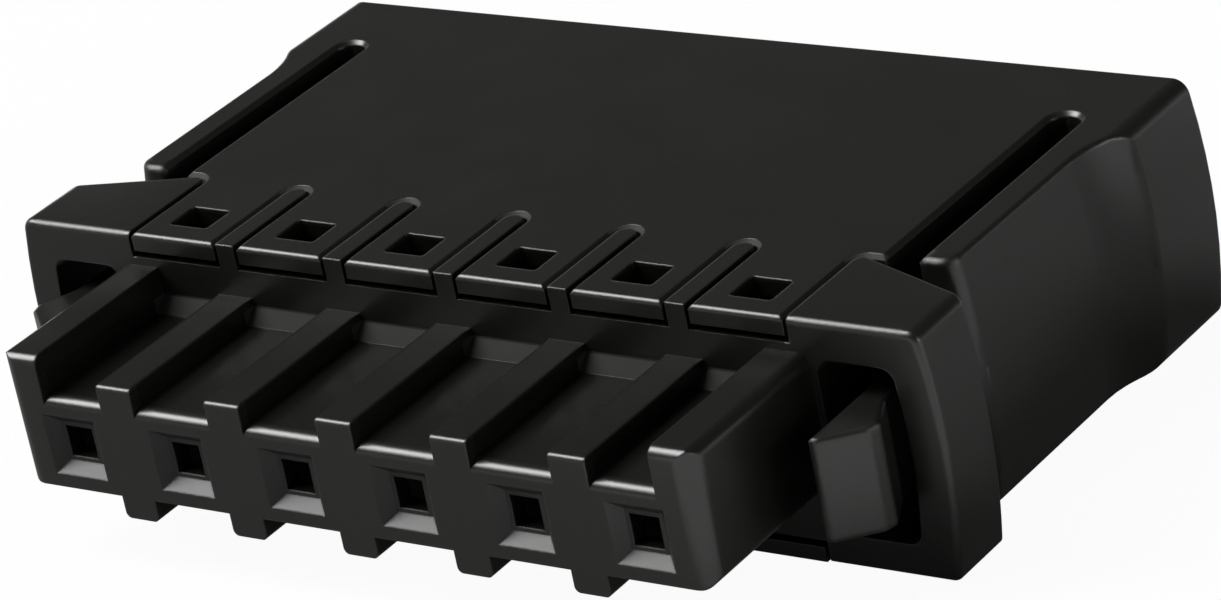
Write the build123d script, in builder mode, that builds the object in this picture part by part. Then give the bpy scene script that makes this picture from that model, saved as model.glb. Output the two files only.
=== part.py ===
from build123d import *
import math
import os

# Six-pole pluggable connector for 2.5 mm pitch: a slotted hood with two latch arms, a contact carrier
# with the pin funnels, and a stamped contact and a clamp spring for each pole.
# Millimetres. X runs along the poles, +Y points from the mating face to the wire side, +Z is up.
# The origin is on the bottom plane, in the middle of the length and the width.

# Driving dimensions
pole_count = 6
pole_pitch = 2.5
overall_length = 13.85
overall_height = 4.78
nose_reach = 3.69
contact_axis_height = 2.366

# Fits between the moulded pieces
joint_gap = 0.07
plug_clearance = 0.13

# Hood: plates, tongues and chambers
top_plate = 0.36
bottom_plate = 0.3
tongue_width = 1.95
tongue_length = 2.45
side_wall = 0.48
chamber_width = 2.15
chamber_step = 0.15
carrier_overlap = 0.9
rear_wall = 1.35
hood_edge_radius = 0.1
hood_edge_chamfer = 0.08

# Hood: test openings in the top tongues
test_opening_width = 0.89
test_opening_length = 0.75
test_opening_setback = 0.5
test_opening_radius = 0.08

# Hood: rear block and latch arms
side_bow = 0.23
block_edge_radius = 0.32
arm_width = 1.305
arm_slot_width = 0.64
arm_slot_end = 1.78
arm_recess = 0.42
arm_front_setback = 2.53
arm_corner_radius = 0.3
grip_setback = 2.1
grip_radius = 2.25
grip_edge_radius = 0.5

# Latch hooks
stem_thickness = 0.56
hook_height = 2.0
hook_reach = 1.52
hook_point_width = 0.135
hook_ramp_length = 0.61
hook_ramp_width = 0.695
hook_bevel_length = 0.25
hook_bevel_width = 0.075
hook_catch_length = 0.73
hook_edge_radius = 0.07

# Wire side of the hood
wire_mouth_diameter = 2.1
wire_throat_diameter = 1.25
wire_funnel_depth = 0.9
wire_axis_height = 1.65
release_slot_width = 1.5
release_slot_height = 0.75
release_slot_center = 3.65
release_slot_chamfer = 0.15

# Carrier: nose
nose_end_width = 1.37
nose_bottom = 1.49
channel_floor = 3.33
rib_width = 0.77
rib_top = 3.74
end_rib_width = 0.87
end_rib_top = 4.13
lower_rib_bottom = 1.05
lower_rib_radius = 0.12
nose_front_radius = 0.18
channel_front_radius = 0.2
rib_front_radius = 0.09
ramp_rise = 0.23
ramp_length = 0.3

# Carrier: pin funnels and contact chambers
funnel_mouth = 1.215
funnel_depth = 0.21
funnel_angle = 45
pin_hole = 0.62
pin_hole_end = 0.55
contact_chamber = 1.15

# Carrier: flange loops around the hooks
flange_overhang = 0.38
flange_outer_depth = 1.42
flange_rear_land = 0.05
flange_wall = 0.73
flange_top_bar = 0.75
flange_bottom_bar = 0.63
window_side_wall = 0.14
window_radius = 0.28
flange_edge_radius = 0.25
flange_front_radius = 0.13
flange_foot_radius = 0.08
flange_rear_radius = 0.08

# Contacts
socket_size = 1.05
socket_length = 3.4
socket_setback = 0.05
sheet_thickness = 0.2
neck_width = 0.8
neck_exit = 0.2
bar_width = 1.7
bar_slope_length = 1.3
bar_end_gap = 0.1

# Clamp springs
spring_thickness = 0.2
spring_width = 1.5
spring_start_gap = 0.2
spring_loop_radius = 0.55
spring_loop_setback = 1.5
spring_reach = 2.3
spring_tip_gap = 0.05

# Planes and places along the depth
mid_height = overall_height / 2
nose_face_y = -overall_length / 2
rear_face_y = overall_length / 2
wall_face_y = nose_face_y + nose_reach
hood_front_y = wall_face_y + tongue_length
partition_y = hood_front_y + carrier_overlap
chamber_end_y = rear_face_y - rear_wall
arm_front_y = wall_face_y + arm_front_setback
grip_end_y = rear_face_y - grip_setback
arm_slot_end_y = rear_face_y - arm_slot_end

# Places across the width
row_half = (pole_count - 1) * pole_pitch / 2
tongue_edge_x = row_half + tongue_width / 2
tongue_slot_width = pole_pitch - tongue_width
tongue_slot_radius = tongue_slot_width / 2
chamber_edge_x = row_half + chamber_width / 2
body_half_width = chamber_edge_x + side_wall
arm_inner_x = body_half_width + arm_slot_width
block_half_width = arm_inner_x + arm_width
flange_half_width = block_half_width + flange_overhang
nose_half_width = row_half + nose_end_width
pole_x = [(i - (pole_count - 1) / 2) * pole_pitch for i in range(pole_count)]
rib_x = [(i - (pole_count - 2) / 2) * pole_pitch for i in range(pole_count - 1)]

# Heights inside the hood
cavity_bottom = bottom_plate
cavity_top = overall_height - top_plate
chamber_bottom = cavity_bottom + chamber_step
chamber_top = cavity_top - chamber_step / 2
carrier_bottom = cavity_bottom + plug_clearance
carrier_top = cavity_top - plug_clearance

# The sides are bowed: each outer surface turns about an axis along Y, half-way up. Its blank turns
# further than the part's height by the overrun, and is then cut level with the top and bottom.
bow_radius = (mid_height**2 + side_bow**2) / (2 * side_bow)
bow_overrun = 1.4
bow_sweep = 2 * bow_overrun * math.degrees(math.asin(mid_height / bow_radius))

# Width within which an edge counts as lying at a given place
place_tolerance = 0.001


def bow_plane(half_width):
    """Plane through the bow axis, tilted up to where the bowed surface starts."""
    tilt = math.radians(bow_sweep / 2)
    return Plane(
        origin=(half_width - bow_radius, 0, mid_height),
        x_dir=(math.cos(tilt), 0, math.sin(tilt)),
        z_dir=(-math.sin(tilt), 0, math.cos(tilt)),
    )


def bow_axis(half_width):
    """Axis along Y that the bowed surface at this half width turns about."""
    return Axis((half_width - bow_radius, 0, mid_height), (0, 1, 0))


def front_plane(y):
    """Upright plane at the depth y that faces the mating side; a negative extrusion goes rearward."""
    return Plane.XZ.offset(-y)


def between(shapes, axis, low, high):
    """Shapes whose middle lies between two places along an axis."""
    return shapes.filter_by_position(axis, low - place_tolerance, high + place_tolerance)


def at(shapes, axis, place):
    """Shapes whose middle lies at one place along an axis."""
    return between(shapes, axis, place, place)


# Recess outside the arm: concave grip curve of one radius, rounded over into the block's side
grip_angle = math.acos(1 - arm_recess / (grip_radius + grip_edge_radius))
grip_start_y = grip_end_y - (grip_radius + grip_edge_radius) * math.sin(grip_angle)
grip_joint_y = grip_start_y + grip_radius * math.sin(grip_angle)
arm_face_r = bow_radius - arm_recess
grip_joint_r = arm_face_r + grip_radius * (1 - math.cos(grip_angle))

with BuildPart() as recess:
    with BuildSketch(bow_plane(block_half_width)):
        with BuildLine():
            Line((arm_face_r, nose_face_y), (arm_face_r, grip_start_y))
            RadiusArc((arm_face_r, grip_start_y), (grip_joint_r, grip_joint_y), grip_radius)
            RadiusArc((grip_joint_r, grip_joint_y), (bow_radius, grip_end_y), -grip_edge_radius)
            Line((bow_radius, grip_end_y), (bow_radius + arm_recess, grip_end_y))
            Line((bow_radius + arm_recess, grip_end_y), (bow_radius + arm_recess, nose_face_y))
            Line((bow_radius + arm_recess, nose_face_y), (arm_face_r, nose_face_y))
        make_face()
    revolve(axis=bow_axis(block_half_width), revolution_arc=bow_sweep)

# One side of the hood: bowed block, with the latch arm freed by the recess and the slot
arm_slot_x = (body_half_width + arm_inner_x) / 2

with BuildPart() as side:
    with BuildSketch(bow_plane(block_half_width)):
        with Locations((bow_radius, rear_face_y)):
            Rectangle(
                block_half_width - chamber_edge_x - side_wall / 2,
                rear_face_y - arm_front_y,
                align=(Align.MAX, Align.MAX),
            )
    revolve(axis=bow_axis(block_half_width), revolution_arc=bow_sweep)
    with BuildSketch(Plane.XY):
        Rectangle(2 * (block_half_width + side_bow), overall_length)
    extrude(amount=overall_height, mode=Mode.INTERSECT)
    rims = at(side.edges(), Axis.Z, 0) + at(side.edges(), Axis.Z, overall_height)
    fillet(between(rims.filter_by(Axis.Y), Axis.X, body_half_width, block_half_width), block_edge_radius)
    add(recess.part, mode=Mode.SUBTRACT)
    with BuildSketch(Plane.XY):
        with Locations((arm_slot_x, arm_slot_end_y - arm_slot_width / 2)):
            Rectangle(arm_slot_width, arm_slot_end_y - nose_face_y, align=(Align.CENTER, Align.MAX))
            Circle(arm_slot_width / 2)
        with Locations((arm_inner_x, hood_front_y)):
            Rectangle(arm_inner_x - tongue_edge_x, tongue_length, align=(Align.MAX, Align.MAX))
    extrude(amount=overall_height, mode=Mode.SUBTRACT)
    fillet(at(side.edges(), Axis.Y, arm_front_y).sort_by(Axis.X)[-1], arm_corner_radius)

# Latch hook in plan, from its point: ramp, bevel, sloping catch and the stem that runs into the arm
stem_outer_x = arm_inner_x + stem_thickness
hook_tip_y = wall_face_y - hook_reach
hook_ramp_y = hook_tip_y + hook_ramp_length
hook_bevel_y = hook_ramp_y + hook_bevel_length
hook_catch_y = hook_bevel_y + hook_catch_length
hook_point_x = arm_inner_x + hook_point_width
hook_ramp_x = hook_point_x + hook_ramp_width
hook_bevel_x = hook_ramp_x + hook_bevel_width
hook_bottom = mid_height - hook_height / 2
hook_top = mid_height + hook_height / 2
stem_root_y = arm_front_y + arm_corner_radius

with BuildPart() as hook:
    with BuildSketch(Plane.XY.offset(hook_bottom)):
        Polygon(
            (arm_inner_x, hook_tip_y),
            (hook_point_x, hook_tip_y),
            (hook_ramp_x, hook_ramp_y),
            (hook_bevel_x, hook_bevel_y),
            (stem_outer_x, hook_catch_y),
            (stem_outer_x, stem_root_y),
            (arm_inner_x, stem_root_y),
            align=None,
        )
    extrude(amount=hook_height)
    outlines = at(hook.edges(), Axis.Z, hook_bottom) + at(hook.edges(), Axis.Z, hook_top)
    fillet(between(outlines, Axis.Y, hook_tip_y, arm_front_y), hook_edge_radius)

# Hood: tongues and slots in front, chamber block behind, bowed sides with the latch arms
wire_funnel_taper = (wire_mouth_diameter - wire_throat_diameter) / 2 / wire_funnel_depth
wire_funnel_angle = math.degrees(math.atan(wire_funnel_taper))
release_slot_bottom = release_slot_center - release_slot_height / 2
release_slot_top = release_slot_center + release_slot_height / 2

with BuildPart() as hood:
    with BuildSketch(Plane.XY) as hood_plan:
        with Locations((0, hood_front_y)):
            Rectangle(2 * tongue_edge_x, tongue_length, align=(Align.CENTER, Align.MAX))
            Rectangle(2 * body_half_width, rear_face_y - hood_front_y, align=(Align.CENTER, Align.MIN))
        shoulders = at(hood_plan.vertices(), Axis.Y, hood_front_y)
        fillet(between(shoulders, Axis.X, -tongue_edge_x, tongue_edge_x), tongue_slot_radius)
        with Locations(*[(x, hood_front_y - tongue_slot_radius) for x in rib_x]):
            Rectangle(tongue_slot_width, tongue_length, align=(Align.CENTER, Align.MAX), mode=Mode.SUBTRACT)
            Circle(tongue_slot_radius, mode=Mode.SUBTRACT)
    extrude(amount=overall_height)
    add(side.part)
    mirror(side.part, about=Plane.YZ)
    with BuildSketch(front_plane(wall_face_y)):
        with Locations((0, (cavity_bottom + cavity_top) / 2)):
            Rectangle(2 * chamber_edge_x, cavity_top - cavity_bottom)
    extrude(amount=wall_face_y - partition_y, mode=Mode.SUBTRACT)
    with BuildSketch(front_plane(partition_y)):
        with Locations(*[(x, (chamber_bottom + chamber_top) / 2) for x in pole_x]):
            Rectangle(chamber_width, chamber_top - chamber_bottom)
    extrude(amount=partition_y - chamber_end_y, mode=Mode.SUBTRACT)
    chamfer(hood.faces().sort_by(Axis.Y)[-1].outer_wire().edges(), hood_edge_chamfer)
    slot_rims = between(at(hood.edges(), Axis.Z, overall_height), Axis.X, -arm_inner_x, arm_inner_x)
    slot_rims = between(slot_rims.filter_by(Axis.X, reverse=True), Axis.Y, wall_face_y, arm_slot_end_y)
    chamfer(slot_rims, hood_edge_chamfer)
    top_fronts = at(hood.edges(), Axis.Z, overall_height).filter_by(Axis.X)
    arm_fronts = at(top_fronts, Axis.Y, arm_front_y).sort_by(Axis.X)
    fillet(at(top_fronts, Axis.Y, wall_face_y) + arm_fronts[:1] + arm_fronts[-1:], hood_edge_radius)
    with BuildSketch(Plane.XY.offset(overall_height)) as test_openings:
        with Locations(*[(x, wall_face_y + test_opening_setback) for x in pole_x]):
            Rectangle(test_opening_width, test_opening_length, align=(Align.CENTER, Align.MIN))
        fillet(test_openings.vertices(), test_opening_radius)
    extrude(amount=-top_plate, mode=Mode.SUBTRACT)
    with BuildSketch(front_plane(rear_face_y)):
        with Locations(*[(x, wire_axis_height) for x in pole_x]):
            Circle(wire_mouth_diameter / 2)
    extrude(amount=wire_funnel_depth, taper=wire_funnel_angle, mode=Mode.SUBTRACT)
    with BuildSketch(front_plane(rear_face_y)):
        with Locations(*[(x, wire_axis_height) for x in pole_x]):
            Circle(wire_throat_diameter / 2)
        with Locations(*[(x, release_slot_center) for x in pole_x]):
            Rectangle(release_slot_width, release_slot_height)
    extrude(amount=rear_wall, mode=Mode.SUBTRACT)
    rear_lines = at(hood.edges(), Axis.Y, rear_face_y).filter_by(GeomType.LINE)
    slot_rims = between(rear_lines, Axis.Z, release_slot_bottom, release_slot_top)
    chamfer(between(slot_rims, Axis.X, -chamber_edge_x, chamber_edge_x), release_slot_chamfer)
    add(hook.part)
    mirror(hook.part, about=Plane.YZ)

# Flange loop on the right: bowed outside, window for the hook, and a rear edge that slants forward
# from a short land beside the rounded inner corner
flange_inner_x = tongue_edge_x + joint_gap
flange_corner_radius = tongue_slot_radius - joint_gap
flange_rear_y = hood_front_y - joint_gap
flange_slant_x = flange_inner_x + flange_corner_radius + flange_rear_land
flange_slant_y = wall_face_y + flange_outer_depth
flange_slope = (flange_rear_y - flange_slant_y) / (flange_half_width - flange_slant_x)
flange_blank_x = flange_half_width + side_bow
flange_blank_y = flange_slant_y - side_bow * flange_slope
window_inner_x = nose_half_width + window_side_wall

with BuildPart() as window:
    with BuildSketch(bow_plane(flange_half_width)):
        with Locations((bow_radius - flange_wall, hood_front_y)):
            Rectangle(flange_half_width - nose_half_width, tongue_length, align=(Align.MAX, Align.MAX))
    revolve(axis=bow_axis(flange_half_width), revolution_arc=bow_sweep)
    with BuildSketch(front_plane(hood_front_y)):
        with Locations((window_inner_x, flange_bottom_bar)):
            Rectangle(
                flange_half_width,
                overall_height - flange_top_bar - flange_bottom_bar,
                align=(Align.MIN, Align.MIN),
            )
    extrude(amount=tongue_length, mode=Mode.INTERSECT)
    fillet(window.edges().filter_by(Axis.Y), window_radius)

with BuildPart() as flange:
    with BuildSketch(Plane.XY) as flange_plan:
        Polygon(
            (flange_inner_x, wall_face_y),
            (flange_blank_x, wall_face_y),
            (flange_blank_x, flange_blank_y),
            (flange_slant_x, flange_rear_y),
            (flange_inner_x, flange_rear_y),
            align=None,
        )
        inner_corner = flange_plan.vertices().group_by(Axis.Y)[-1].sort_by(Axis.X)[0]
        fillet(inner_corner, flange_corner_radius)
    extrude(amount=overall_height)
    with BuildSketch(bow_plane(flange_half_width)):
        with Locations((bow_radius, flange_rear_y)):
            Rectangle(flange_half_width - tongue_edge_x, tongue_length, align=(Align.MAX, Align.MAX))
    revolve(axis=bow_axis(flange_half_width), revolution_arc=bow_sweep, mode=Mode.INTERSECT)
    top_rims = at(flange.edges(), Axis.Z, overall_height).filter_by(Axis.Y)
    fillet(top_rims.sort_by(Axis.X)[-1], flange_edge_radius)
    fillet(at(flange.edges(), Axis.Y, wall_face_y).sort_by(Axis.X)[-1], flange_front_radius)
    foot_rims = at(flange.edges(), Axis.Z, 0).filter_by(Axis.Y)
    fillet(foot_rims.sort_by(Axis.X)[-1], flange_foot_radius)
    fillet(flange.edges().filter_by(GeomType.ELLIPSE).sort_by(Axis.X)[-1], flange_rear_radius)
    add(window.part, mode=Mode.SUBTRACT)

# Contact carrier: nose with channels, wall and plug behind it, key ribs, flange loops, funnels
plug_half_width = chamber_edge_x - plug_clearance
end_rib_x = nose_half_width - end_rib_width / 2

with BuildPart() as contact_carrier:
    with BuildSketch(front_plane(nose_face_y)) as nose_profile:
        with Locations((0, nose_bottom)):
            Rectangle(2 * nose_half_width, channel_floor - nose_bottom, align=(Align.CENTER, Align.MIN))
        with Locations((-end_rib_x, nose_bottom), (end_rib_x, nose_bottom)):
            Rectangle(end_rib_width, end_rib_top - nose_bottom, align=(Align.CENTER, Align.MIN))
        with Locations(*[(x, lower_rib_bottom) for x in rib_x]):
            Rectangle(rib_width, rib_top - lower_rib_bottom, align=(Align.CENTER, Align.MIN))
        fillet(at(nose_profile.vertices(), Axis.Y, lower_rib_bottom), lower_rib_radius)
    extrude(amount=-nose_reach)
    front_edges = at(contact_carrier.edges(), Axis.Y, nose_face_y)
    fillet(at(front_edges, Axis.Z, channel_floor), channel_front_radius)
    front_edges = at(contact_carrier.edges(), Axis.Y, nose_face_y)
    fillet(at(front_edges, Axis.Z, rib_top), rib_front_radius)
    front_edges = at(contact_carrier.edges(), Axis.Y, nose_face_y)
    fillet(front_edges.sort_by(Axis.X)[0], nose_front_radius)
    front_edges = at(contact_carrier.edges(), Axis.Y, nose_face_y)
    fillet(front_edges.sort_by(Axis.X)[-1], nose_front_radius)
    with BuildSketch(Plane.YZ.offset(end_rib_width / 2 - nose_half_width)):
        Polygon(
            (wall_face_y - ramp_length, channel_floor),
            (wall_face_y, channel_floor + ramp_rise),
            (wall_face_y, channel_floor),
            align=None,
        )
    extrude(amount=2 * nose_half_width - end_rib_width)
    with BuildSketch(front_plane(wall_face_y)):
        with Locations((0, (carrier_bottom + carrier_top) / 2)):
            Rectangle(2 * flange_slant_x, carrier_top - carrier_bottom)
    extrude(amount=wall_face_y - flange_rear_y)
    with BuildSketch(front_plane(wall_face_y)):
        with Locations((0, (carrier_bottom + carrier_top) / 2)):
            Rectangle(2 * plug_half_width, carrier_top - carrier_bottom)
    extrude(amount=wall_face_y - partition_y)
    with BuildSketch(Plane.XY):
        with Locations(*[(x, hood_front_y - tongue_slot_radius) for x in rib_x]):
            Rectangle(
                tongue_slot_width - 2 * joint_gap,
                tongue_length - tongue_slot_radius,
                align=(Align.CENTER, Align.MAX),
            )
            Circle(tongue_slot_radius - joint_gap)
    extrude(amount=overall_height)
    add(flange.part)
    mirror(flange.part, about=Plane.YZ)
    with BuildSketch(front_plane(nose_face_y)):
        with Locations(*[(x, contact_axis_height) for x in pole_x]):
            Rectangle(funnel_mouth, funnel_mouth)
    extrude(amount=-funnel_depth, taper=funnel_angle, mode=Mode.SUBTRACT)
    with BuildSketch(front_plane(nose_face_y)):
        with Locations(*[(x, contact_axis_height) for x in pole_x]):
            Rectangle(pin_hole, pin_hole)
    extrude(amount=-pin_hole_end, mode=Mode.SUBTRACT)
    with BuildSketch(front_plane(nose_face_y + pin_hole_end)):
        with Locations(*[(x, contact_axis_height) for x in pole_x]):
            Rectangle(contact_chamber, contact_chamber)
    extrude(amount=nose_face_y + pin_hole_end - partition_y, mode=Mode.SUBTRACT)
    with BuildSketch(Plane.XY.offset(contact_axis_height)):
        with Locations(*[(x, wall_face_y + test_opening_setback) for x in pole_x]):
            Rectangle(
                test_opening_width - joint_gap,
                test_opening_length - joint_gap,
                align=(Align.CENTER, Align.MIN),
            )
    extrude(amount=carrier_top - contact_axis_height, mode=Mode.SUBTRACT)

# Contact: square socket behind the pin funnel, neck through the partition, bar on the chamber floor
socket_front_y = nose_face_y + pin_hole_end + socket_setback
socket_rear_y = socket_front_y + socket_length
socket_bore = socket_size - 2 * sheet_thickness
neck_height = contact_axis_height - (socket_size - sheet_thickness) / 2
neck_exit_y = partition_y + neck_exit
bar_height = chamber_bottom + sheet_thickness / 2
bar_start_y = neck_exit_y + bar_slope_length

with BuildPart() as contact:
    with BuildSketch(front_plane(socket_front_y)):
        with Locations((0, contact_axis_height)):
            Rectangle(socket_size, socket_size)
            Rectangle(socket_bore, socket_bore, mode=Mode.SUBTRACT)
    extrude(amount=-socket_length)
    with BuildSketch(Plane.YZ):
        with BuildLine():
            Polyline(
                (socket_rear_y - sheet_thickness, neck_height),
                (neck_exit_y, neck_height),
                (bar_start_y, bar_height),
                (chamber_end_y - bar_end_gap, bar_height),
            )
        trace(line_width=sheet_thickness)
    extrude(amount=neck_width / 2, both=True)
    with BuildSketch(Plane.XY.offset(chamber_bottom)):
        with Locations((0, chamber_end_y - bar_end_gap)):
            Rectangle(bar_width, chamber_end_y - bar_end_gap - bar_start_y, align=(Align.CENTER, Align.MAX))
    extrude(amount=sheet_thickness)

# Clamp spring: leg held under the chamber's roof, loop, and the leg that presses the wire on the bar
spring_loop_y = chamber_end_y - spring_loop_setback
spring_loop_height = chamber_top - spring_loop_radius
spring_tip_y = spring_loop_y - spring_reach
spring_tip_height = chamber_bottom + sheet_thickness + spring_tip_gap

with BuildPart() as clamp_spring:
    with BuildSketch(Plane.YZ):
        with BuildLine():
            Line((partition_y + spring_start_gap, chamber_top), (spring_loop_y, chamber_top))
            CenterArc((spring_loop_y, spring_loop_height), spring_loop_radius, 90, -180)
            Line((spring_loop_y, spring_loop_height - spring_loop_radius), (spring_tip_y, spring_tip_height))
            offset(amount=spring_thickness, side=Side.RIGHT)
        make_face()
    extrude(amount=spring_width / 2, both=True)


def export_piece(part, label):
    """Name one piece and write its file."""
    part.label = label
    export_step(part, f"parts/{label}.step")


os.makedirs("parts", exist_ok=True)
export_piece(hood.part, "hood")
export_piece(contact_carrier.part, "contact_carrier")
for number, x in enumerate(pole_x, start=1):
    export_piece(contact.part.moved(Location((x, 0, 0))), f"contact_{number}")
    export_piece(clamp_spring.part.moved(Location((x, 0, 0))), f"clamp_spring_{number}")
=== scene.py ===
import math

import bpy
import bmesh
from mathutils import Euler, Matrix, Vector


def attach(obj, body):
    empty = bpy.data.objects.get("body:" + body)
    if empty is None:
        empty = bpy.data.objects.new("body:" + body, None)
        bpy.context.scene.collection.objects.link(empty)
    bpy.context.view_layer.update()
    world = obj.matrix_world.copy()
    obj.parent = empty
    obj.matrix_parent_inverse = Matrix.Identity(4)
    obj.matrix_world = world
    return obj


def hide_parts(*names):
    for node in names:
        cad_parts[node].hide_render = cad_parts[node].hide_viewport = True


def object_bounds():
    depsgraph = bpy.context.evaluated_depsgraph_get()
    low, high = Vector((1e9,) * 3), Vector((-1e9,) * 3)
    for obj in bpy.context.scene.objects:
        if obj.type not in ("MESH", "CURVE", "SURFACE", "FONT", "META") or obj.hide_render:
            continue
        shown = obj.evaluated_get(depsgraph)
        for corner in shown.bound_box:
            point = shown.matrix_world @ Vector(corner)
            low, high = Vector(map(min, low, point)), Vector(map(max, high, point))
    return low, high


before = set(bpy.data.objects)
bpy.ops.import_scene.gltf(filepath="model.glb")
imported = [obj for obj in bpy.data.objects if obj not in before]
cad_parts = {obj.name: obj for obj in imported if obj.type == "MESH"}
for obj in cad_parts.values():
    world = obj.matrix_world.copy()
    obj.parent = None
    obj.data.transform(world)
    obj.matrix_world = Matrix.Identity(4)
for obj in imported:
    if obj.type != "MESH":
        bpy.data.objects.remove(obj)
cad_box = [list(corner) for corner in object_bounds()]

MM = 0.001

# Camera: fitted to the photograph in units of the pole pitch, then scaled with the part; lens and
# sensor are in mm, and the nearest and furthest that it sees in metres
CAMERA_PLACE_MM = (58.29, -70.31, 44.82)
CAMERA_TURN_DEG = (64.66, 10.47, 34.25)
CAMERA_LENS = 162.4
CAMERA_SENSOR = 36.0
CAMERA_CLIP = (1 * MM, 10.0)

# Plastic: its darkest and lightest colour, and the limits of its roughness
PLASTIC_COLOURS = ((0.0036, 0.0036, 0.0027), (0.0048, 0.0048, 0.0036))
PLASTIC_ROUGHNESS = (0.305, 0.335)

# Blocks of the plastic, each (low, high) in mm for the distance from the middle, Y and Z: first
# with the rounding of their outer edges in mm, where it isn't EDGE_RADIUS (hooks, inner side of the
# flange window, top of the wall, inner ribs, flange's top front edge, front ends of the arms), then
# with what is added to their roughness (funnels, ramps, test openings, channels, ends of the slots)
EDGE_RADIUS = 0.055
EDGE_ZONES = (
    (((8.4, 9.5), (-4.8, -3.3), (1.3, 3.5)), 0.13),
    (((7.63, 7.9), (-3.3, -2.4), (0.5, 4.2)), 0.01),
    (((0.0, 7.2), (-3.3, -3.1), (4.0, 4.5)), 0.005),
    (((0.0, 6.7), (-6.8, -3.4), (3.5, 3.8)), 0.12),
    (((7.45, 9.6), (-3.3, -2.95), (4.5, 4.8)), 0.12),
    (((8.4, 10.2), (-0.72, -0.35), (4.3, 4.79)), 0.2),
)
ROUGHNESS_ZONES = (
    (((0.0, 7.0), (-6.92, -6.70), (1.7, 3.0)), 0.16),
    (((0.0, 7.0), (-3.54, -3.23), (3.3305, 3.6)), 0.62),
    (((0.0, 7.0), (-2.76, -1.96), (2.0, 4.70)), -0.2),
    (((0.0, 6.75), (-6.68, -3.54), (3.3, 3.72)), -0.08),
    (((0.0, 8.2), (-1.1, -0.66), (4.69, 4.775)), 0.45),
)

# Outer edges are those where little hides the sky within a reach in mm; between two shares of open
# sky the rounding sets in
EDGE_SAMPLES = 6
OPENNESS_SAMPLES = 4
OPENNESS_REACH = 0.15
OPENNESS_SHARES = (0.7, 0.95)

# Metals: darkest and lightest colour, and the limits of the roughness
TIN_COLOURS = ((0.34, 0.33, 0.31), (0.46, 0.45, 0.43))
TIN_ROUGHNESS = (0.28, 0.42)
STEEL_COLOURS = ((0.42, 0.42, 0.41), (0.58, 0.58, 0.57))
STEEL_ROUGHNESS = (0.22, 0.38)

# Noise: cells per metre, levels of detail and, where it isn't 0.5, how rough it is
PLASTIC_CLOUDS = (350, 3)
PLASTIC_GLOSS = (900, 4)
PLASTIC_GRAIN = (14000, 2, 0.6)
TIN_PATCHES = (1200, 4)
TIN_GRAIN = (9000, 3)
STEEL_STREAKS_PER_M = (30000, 1500, 1500)
STEEL_STREAKS_DETAIL = 3

# Bumps: height in metres and strength
CLOUD_BUMP = (20e-6, 0.015)
PLASTIC_BUMP = (4e-6, 0.35)
TIN_BUMP = (3e-6, 0.3)
STEEL_BUMP = (2e-6, 0.3)

# Nose: half width, height of its bottom and top, depth of its front and back, and inner side of its
# end ribs, in mm
NOSE_HALF_WIDTH = 7.62
NOSE_BOTTOM = 1.49
NOSE_TOP = 4.13
NOSE_FRONT = -6.925
NOSE_BACK = -3.236
END_RIB_INNER = 6.75

# Radii in mm of the nose's long edges below and above, of its upright front edges, and of the end
# ribs' top front edges
NOSE_CORNER_RADIUS = 0.3
NOSE_SHOULDER_RADIUS = 0.25
NOSE_FRONT_RADIUS = 0.42
END_RIB_FRONT_RADIUS = 0.2

# Cutters: steps of a rounding, and how far they reach past the solid, past an end rib's sides and
# over the ends of a rounding, in mm
CUT_STEPS = 10
CUT_SPARE = 0.2
CUT_RIB_SPARE = 0.1
CUT_OVERLAP = 0.001

# Rounded carrier: distance in metres within which points are joined, and the angle in degrees from
# which an edge is sharp
WELD_DISTANCE = 1e-7
SHARP_ANGLE = 20

# Floor: half its side in metres; its grey and a paler one, which is painted light: pools of light
# painted on the floor at the front right and behind, which the camera doesn't see but which show in
# the object's reflections and in light bounced onto it; the areas of these painted pools, each
# bounded along one or more directions between two distances in mm; the even grey that the camera
# sees; and how white it glows for each kind of ray that sees it
FLOOR_HALF = 1.5
FLOOR_GREYS = (0.19, 0.75)
FLOOR_PAINTED_LIGHT_AREAS = (
    (((0.70, -0.71, 0.0), (11.5, 14.0)),),
    (((-0.70, 0.71, 0.0), (2.0, 4.0)), ((0.0, 1.0, 0.0), (8.5, 10.0))),
)
FLOOR_CAMERA_GREY = 0.5
FLOOR_WHITE_SHARES = {"Is Camera Ray": 0.95, "Is Transmission Ray": 0.95, "Is Glossy Ray": 0.05}

# Studio light by height above the horizon, as (sine of the elevation, level)
WORLD_STOPS = ((0.0, 0.8), (0.08, 0.8), (0.20, 0.07), (0.55, 0.07), (1.0, 0.1))

# Softboxes: direction from the object, distance and size in metres, and what a mirror shows of them
SOFTBOXES = {
    "main_box": ((-0.573, -0.27, 0.775), 0.5, (0.24, 0.40), 18.0),
    "right_box": ((1.0, 0.0, 0.30), 0.5, (0.30, 0.16), 4.4),
}


def add_camera():
    """Makes the camera at the photograph's viewing angle."""
    data = bpy.data.cameras.new("camera")
    data.sensor_fit = "HORIZONTAL"
    data.sensor_width = CAMERA_SENSOR
    data.lens = CAMERA_LENS
    data.clip_start, data.clip_end = CAMERA_CLIP
    camera = bpy.data.objects.new("camera", data)
    camera.location = Vector(CAMERA_PLACE_MM) * MM
    camera.rotation_euler = Euler([math.radians(a) for a in CAMERA_TURN_DEG], "XYZ")
    bpy.context.scene.collection.objects.link(camera)
    bpy.context.scene.camera = camera


def empty_material(name):
    """Node material with an output only."""
    material = bpy.data.materials.new(name)
    material.use_nodes = True
    tree = material.node_tree
    tree.nodes.clear()
    output = tree.nodes.new("ShaderNodeOutputMaterial")
    return material, tree, output


def new_material(name):
    """Node material with an output and a Principled shader."""
    material, tree, output = empty_material(name)
    shader = tree.nodes.new("ShaderNodeBsdfPrincipled")
    tree.links.new(shader.outputs["BSDF"], output.inputs["Surface"])
    return material, tree, shader


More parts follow.
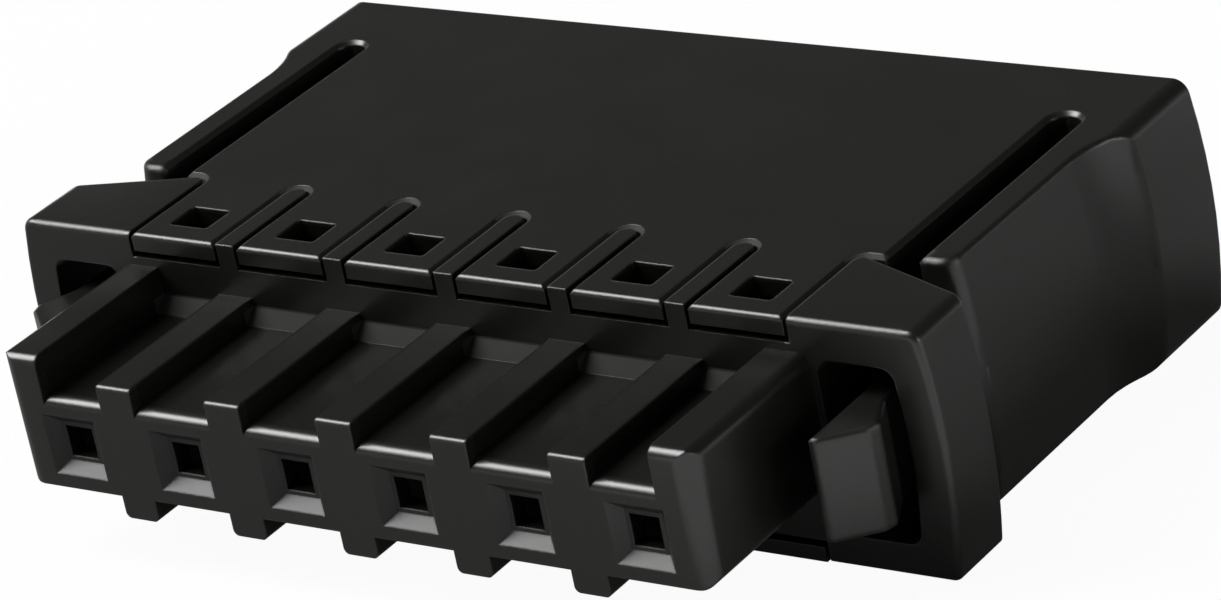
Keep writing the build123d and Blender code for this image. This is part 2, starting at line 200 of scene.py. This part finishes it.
def noise(tree, scale, detail, roughness=0.5):
    """Noise in object space; scale is in cells per metre."""
    coordinates = tree.nodes.new("ShaderNodeTexCoord")
    texture = tree.nodes.new("ShaderNodeTexNoise")
    texture.inputs["Scale"].default_value = scale
    texture.inputs["Detail"].default_value = detail
    texture.inputs["Roughness"].default_value = roughness
    tree.links.new(coordinates.outputs["Object"], texture.inputs["Vector"])
    return texture.outputs["Fac"]


def spread(tree, value, low, high, start=0.3, end=0.7):
    """Maps start to end, by default the noise's usual range, onto low to high."""
    node = tree.nodes.new("ShaderNodeMapRange")
    node.inputs["From Min"].default_value = start
    node.inputs["From Max"].default_value = end
    node.inputs["To Min"].default_value = low
    node.inputs["To Max"].default_value = high
    tree.links.new(value, node.inputs["Value"])
    return node.outputs["Result"]


def two_tone(tree, value, dark, light):
    """Mixes two colours by a value of noise."""
    node = tree.nodes.new("ShaderNodeMix")
    node.data_type = "RGBA"
    node.inputs["A"].default_value = (*dark, 1)
    node.inputs["B"].default_value = (*light, 1)
    tree.links.new(spread(tree, value, 0, 1), node.inputs["Factor"])
    return node.outputs["Result"]


def bump(tree, shader, value, distance, strength, below=None):
    """Adds a bump of a real height in metres, on top of another if given."""
    node = tree.nodes.new("ShaderNodeBump")
    node.inputs["Strength"].default_value = strength
    node.inputs["Distance"].default_value = distance
    tree.links.new(value, node.inputs["Height"])
    if below is not None:
        tree.links.new(below, node.inputs["Normal"])
    tree.links.new(node.outputs["Normal"], shader.inputs["Normal"])
    return node.outputs["Normal"]


def math_node(tree, operation, *values):
    """Math node; each value is a number or another node's output."""
    node = tree.nodes.new("ShaderNodeMath")
    node.operation = operation
    for socket, value in zip(node.inputs, values):
        if isinstance(value, (int, float)):
            socket.default_value = value
        else:
            tree.links.new(value, socket)
    return node.outputs["Value"]


def zone(tree, limits):
    """1 inside a block of the object and 0 outside; limits in mm, X taken on both sides alike."""
    coordinates = tree.nodes.new("ShaderNodeTexCoord")
    axes = tree.nodes.new("ShaderNodeSeparateXYZ")
    tree.links.new(coordinates.outputs["Object"], axes.inputs["Vector"])
    places = [math_node(tree, "ABSOLUTE", axes.outputs["X"]), axes.outputs["Y"], axes.outputs["Z"]]
    inside = [
        math_node(tree, "COMPARE", place, (low + high) / 2 * MM, (high - low) / 2 * MM)
        for place, (low, high) in zip(places, limits)
    ]
    return math_node(tree, "MULTIPLY", math_node(tree, "MULTIPLY", inside[0], inside[1]), inside[2])


def rounded_edges(tree):
    """Normal that rounds the outer edges in the shading only, and leaves inner corners sharp."""
    radius = EDGE_RADIUS * MM
    for limits, other in EDGE_ZONES:
        change = (other - EDGE_RADIUS) * MM
        radius = math_node(tree, "MULTIPLY_ADD", zone(tree, limits), change, radius)
    bevel = tree.nodes.new("ShaderNodeBevel")
    bevel.samples = EDGE_SAMPLES
    tree.links.new(radius, bevel.inputs["Radius"])
    openness = tree.nodes.new("ShaderNodeAmbientOcclusion")
    openness.samples = OPENNESS_SAMPLES
    openness.inputs["Distance"].default_value = OPENNESS_REACH * MM
    surface = tree.nodes.new("ShaderNodeNewGeometry")
    mix = tree.nodes.new("ShaderNodeMix")
    mix.data_type = "VECTOR"
    outer = spread(tree, openness.outputs["AO"], 0, 1, *OPENNESS_SHARES)
    vector_a, vector_b, vector_result = mix.inputs[4], mix.inputs[5], mix.outputs[1]
    tree.links.new(outer, mix.inputs["Factor"])
    tree.links.new(surface.outputs["Normal"], vector_a)
    tree.links.new(bevel.outputs["Normal"], vector_b)
    return vector_result


def black_plastic():
    """Moulded satin black polyamide: fine spark-eroded grain, rougher on the lead-in slopes."""
    material, tree, shader = new_material("black_polyamide")
    clouds = noise(tree, *PLASTIC_CLOUDS)
    tree.links.new(two_tone(tree, clouds, *PLASTIC_COLOURS), shader.inputs["Base Color"])
    roughness = spread(tree, noise(tree, *PLASTIC_GLOSS), *PLASTIC_ROUGHNESS)
    for limits, change in ROUGHNESS_ZONES:
        roughness = math_node(tree, "MULTIPLY_ADD", zone(tree, limits), change, roughness)
    tree.links.new(roughness, shader.inputs["Roughness"])
    shader.inputs["Specular IOR Level"].default_value = 0.5
    below = bump(tree, shader, clouds, *CLOUD_BUMP, rounded_edges(tree))
    bump(tree, shader, noise(tree, *PLASTIC_GRAIN), *PLASTIC_BUMP, below)
    return material


def tinned_sheet():
    """Tin-plated copper alloy: soft grey metal with faint patches."""
    material, tree, shader = new_material("tinned_sheet")
    patches = noise(tree, *TIN_PATCHES)
    tree.links.new(two_tone(tree, patches, *TIN_COLOURS), shader.inputs["Base Color"])
    tree.links.new(spread(tree, patches, *TIN_ROUGHNESS), shader.inputs["Roughness"])
    shader.inputs["Metallic"].default_value = 1.0
    bump(tree, shader, noise(tree, *TIN_GRAIN), *TIN_BUMP)
    return material


def spring_steel():
    """Stainless spring strip with a fine brushed grain along its length."""
    material, tree, shader = new_material("spring_steel")
    coordinates = tree.nodes.new("ShaderNodeTexCoord")
    stretch = tree.nodes.new("ShaderNodeMapping")
    stretch.inputs["Scale"].default_value = STEEL_STREAKS_PER_M
    texture = tree.nodes.new("ShaderNodeTexNoise")
    texture.inputs["Scale"].default_value = 1.0
    texture.inputs["Detail"].default_value = STEEL_STREAKS_DETAIL
    tree.links.new(coordinates.outputs["Object"], stretch.inputs["Vector"])
    tree.links.new(stretch.outputs["Vector"], texture.inputs["Vector"])
    streaks = texture.outputs["Fac"]
    tree.links.new(two_tone(tree, streaks, *STEEL_COLOURS), shader.inputs["Base Color"])
    tree.links.new(spread(tree, streaks, *STEEL_ROUGHNESS), shader.inputs["Roughness"])
    shader.inputs["Metallic"].default_value = 1.0
    bump(tree, shader, streaks, *STEEL_BUMP)
    return material


def corner_cutter(name, place, turn, span, axis, radius):
    """Prism that cuts a sharp corner to a radius; sizes in mm.

    The corner's edge runs along axis over span; place is where it crosses the other two axes, and
    turn gives on which side of the solid the corner is, as -1 or 1 for each of them.
    """
    centre = [p - t * radius for p, t in zip(place, turn)]
    arc = [math.radians(90 * step / CUT_STEPS) for step in range(CUT_STEPS + 1)]
    outline = [(radius * math.cos(angle), radius * math.sin(angle)) for angle in arc]
    outline[0], outline[-1] = (radius, -CUT_OVERLAP), (-CUT_OVERLAP, radius)
    past = radius + CUT_SPARE
    outline += [(-CUT_OVERLAP, past), (past, past), (past, -CUT_OVERLAP)]
    vertices = []
    for end in span:
        for across, up in outline:
            point = [centre[0] + turn[0] * across, centre[1] + turn[1] * up]
            point.insert(axis, end)
            vertices.append(Vector(point) * MM)
    count = len(outline)
    faces = [tuple(range(count)), tuple(range(2 * count - 1, count - 1, -1))]
    faces += [(i, (i + 1) % count, count + (i + 1) % count, count + i) for i in range(count)]
    mesh = bpy.data.meshes.new(name)
    mesh.from_pydata(vertices, [], faces)
    edit = bmesh.new()
    edit.from_mesh(mesh)
    bmesh.ops.recalc_face_normals(edit, faces=edit.faces)
    edit.to_mesh(mesh)
    edit.free()
    cutter = bpy.data.objects.new(name, mesh)
    bpy.context.scene.collection.objects.link(cutter)
    return cutter


def nose_cutters():
    """Cutters for the nose's long and upright edges and its end ribs' front edges, both sides."""
    depth = (NOSE_FRONT - CUT_SPARE, NOSE_BACK)
    height = (NOSE_BOTTOM - CUT_SPARE, NOSE_TOP + CUT_SPARE)
    cutters = []
    for side in (-1, 1):
        wall = side * NOSE_HALF_WIDTH
        rib_sides = (END_RIB_INNER - CUT_RIB_SPARE, NOSE_HALF_WIDTH + CUT_RIB_SPARE)
        width = sorted(side * rib_side for rib_side in rib_sides)
        for corner in (
            ("cut_top", (wall, NOSE_TOP), (side, 1), depth, 1, NOSE_SHOULDER_RADIUS),
            ("cut_low", (wall, NOSE_BOTTOM), (side, -1), depth, 1, NOSE_CORNER_RADIUS),
            ("cut_upright", (wall, NOSE_FRONT), (side, -1), height, 2, NOSE_FRONT_RADIUS),
            ("cut_front", (NOSE_FRONT, NOSE_TOP), (-1, 1), width, 0, END_RIB_FRONT_RADIUS),
        ):
            cutters.append(corner_cutter(*corner))
    return cutters


def rounded_carrier(node, material):
    """Copy of the contact carrier with the nose's corners rounded, in place of the CAD node."""
    mesh = node.data.copy()
    edit = bmesh.new()
    edit.from_mesh(mesh)
    bmesh.ops.remove_doubles(edit, verts=edit.verts, dist=WELD_DISTANCE)
    edit.to_mesh(mesh)
    edit.free()
    sharp = bpy.data.objects.new("carrier_sharp", mesh)
    bpy.context.scene.collection.objects.link(sharp)
    cutters = nose_cutters()
    for cutter in cutters:
        cut = sharp.modifiers.new(cutter.name, "BOOLEAN")
        cut.operation = "DIFFERENCE"
        cut.solver = "EXACT"
        cut.object = cutter
    depsgraph = bpy.context.evaluated_depsgraph_get()
    final = bpy.data.meshes.new_from_object(sharp.evaluated_get(depsgraph))
    for piece in [sharp, *cutters]:
        bpy.data.objects.remove(piece)
    if "custom_normal" in final.attributes:
        final.attributes.remove(final.attributes["custom_normal"])
    final.shade_smooth()
    final.set_sharp_from_angle(angle=math.radians(SHARP_ANGLE))
    final.materials.clear()
    final.materials.append(material)
    carrier = bpy.data.objects.new("contact_carrier_rounded", final)
    bpy.context.scene.collection.objects.link(carrier)
    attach(carrier, "root")
    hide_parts("contact_carrier")


def dress(nodes, materials):
    """Gives every CAD node the material of its family, by the start of its name."""
    for name, piece in nodes.items():
        family = next(key for key in materials if name.startswith(key))
        piece.data.materials.clear()
        piece.data.materials.append(materials[family])


def painted_light_grey(tree, place, bounds):
    """Floor's grey for one of its painted pools of light: the pale grey only past all the area's
    bounds.
    """
    grey = FLOOR_GREYS[1]
    for direction, (near, far) in bounds:
        along = tree.nodes.new("ShaderNodeVectorMath")
        along.operation = "DOT_PRODUCT"
        along.inputs[1].default_value = direction
        tree.links.new(place, along.inputs[0])
        past = spread(tree, along.outputs["Value"], *FLOOR_GREYS, near * MM, far * MM)
        grey = math_node(tree, "MINIMUM", grey, past)
    return grey


def white_floor():
    """Plain pale floor: near white for the camera, with a faint shadow; greyer in reflections,
    where painted pools of light show.
    """
    material, tree, output = empty_material("floor_paper")
    coordinates = tree.nodes.new("ShaderNodeTexCoord")
    paths = tree.nodes.new("ShaderNodeLightPath")
    # Painted light: pools of paler grey on the floor, seen only in reflections and bounced light,
    # as the camera gets an even grey
    greys = [painted_light_grey(tree, coordinates.outputs["Object"], area) for area in FLOOR_PAINTED_LIGHT_AREAS]
    grey = math_node(tree, "MAXIMUM", *greys)
    to_even = math_node(tree, "SUBTRACT", FLOOR_CAMERA_GREY, grey)
    grey = math_node(tree, "MULTIPLY_ADD", paths.outputs["Is Camera Ray"], to_even, grey)
    diffuse = tree.nodes.new("ShaderNodeBsdfDiffuse")
    tree.links.new(grey, diffuse.inputs["Color"])
    glow = tree.nodes.new("ShaderNodeEmission")
    glow.inputs["Color"].default_value = (1, 1, 1, 1)
    share = 0.0
    for ray, weight in FLOOR_WHITE_SHARES.items():
        seen = math_node(tree, "MULTIPLY", paths.outputs[ray], weight)
        share = math_node(tree, "MAXIMUM", share, seen)
    mix = tree.nodes.new("ShaderNodeMixShader")
    tree.links.new(share, mix.inputs["Fac"])
    tree.links.new(diffuse.outputs["BSDF"], mix.inputs[1])
    tree.links.new(glow.outputs["Emission"], mix.inputs[2])
    tree.links.new(mix.outputs["Shader"], output.inputs["Surface"])
    return material


def add_floor():
    """Lays the floor under the object."""
    low, high, level = -FLOOR_HALF, FLOOR_HALF, cad_box[0][2]
    corners = [(low, low, level), (high, low, level), (high, high, level), (low, high, level)]
    mesh = bpy.data.meshes.new("floor")
    mesh.from_pydata(corners, [], [(0, 1, 2, 3)])
    mesh.materials.append(white_floor())
    floor = bpy.data.objects.new("floor", mesh)
    bpy.context.scene.collection.objects.link(floor)


def add_world():
    """Studio round the object: pale at the horizon and dark above it."""
    world = bpy.data.worlds.new("studio")
    bpy.context.scene.world = world
    world.use_nodes = True
    tree = world.node_tree
    tree.nodes.clear()
    output = tree.nodes.new("ShaderNodeOutputWorld")
    background = tree.nodes.new("ShaderNodeBackground")
    coordinates = tree.nodes.new("ShaderNodeTexCoord")
    axes = tree.nodes.new("ShaderNodeSeparateXYZ")
    ramp = tree.nodes.new("ShaderNodeValToRGB")
    stops = ramp.color_ramp.elements
    ramp.color_ramp.interpolation = "EASE"
    while len(stops) < len(WORLD_STOPS):
        stops.new(0.5)
    for stop, (place, level) in zip(stops, WORLD_STOPS):
        stop.position = place
        stop.color = (level, level, level, 1)
    tree.links.new(coordinates.outputs["Generated"], axes.inputs["Vector"])
    tree.links.new(axes.outputs["Z"], ramp.inputs["Fac"])
    tree.links.new(ramp.outputs["Color"], background.inputs["Color"])
    tree.links.new(background.outputs["Background"], output.inputs["Surface"])


def add_softbox(name, direction, distance, size, radiance):
    """Area light that faces the object; radiance is what a mirror would show of it."""
    data = bpy.data.lights.new(name, "AREA")
    data.shape = "RECTANGLE"
    data.size, data.size_y = size
    data.energy = math.pi * size[0] * size[1] * radiance
    light = bpy.data.objects.new(name, data)
    away = Vector(direction).normalized()
    light.location = away * distance
    light.rotation_euler = away.to_track_quat("Z", "Y").to_euler()
    bpy.context.scene.collection.objects.link(light)


plastic = black_plastic()
families = {
    "hood": plastic,
    "contact_carrier": plastic,
    "contact_": tinned_sheet(),
    "clamp_spring_": spring_steel(),
}

add_camera()
dress(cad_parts, families)
rounded_carrier(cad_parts["contact_carrier"], plastic)
add_floor()
add_world()
for name, (direction, distance, size, radiance) in SOFTBOXES.items():
    add_softbox(name, direction, distance, size, radiance)

bpy.context.scene.view_settings.view_transform = "Standard"
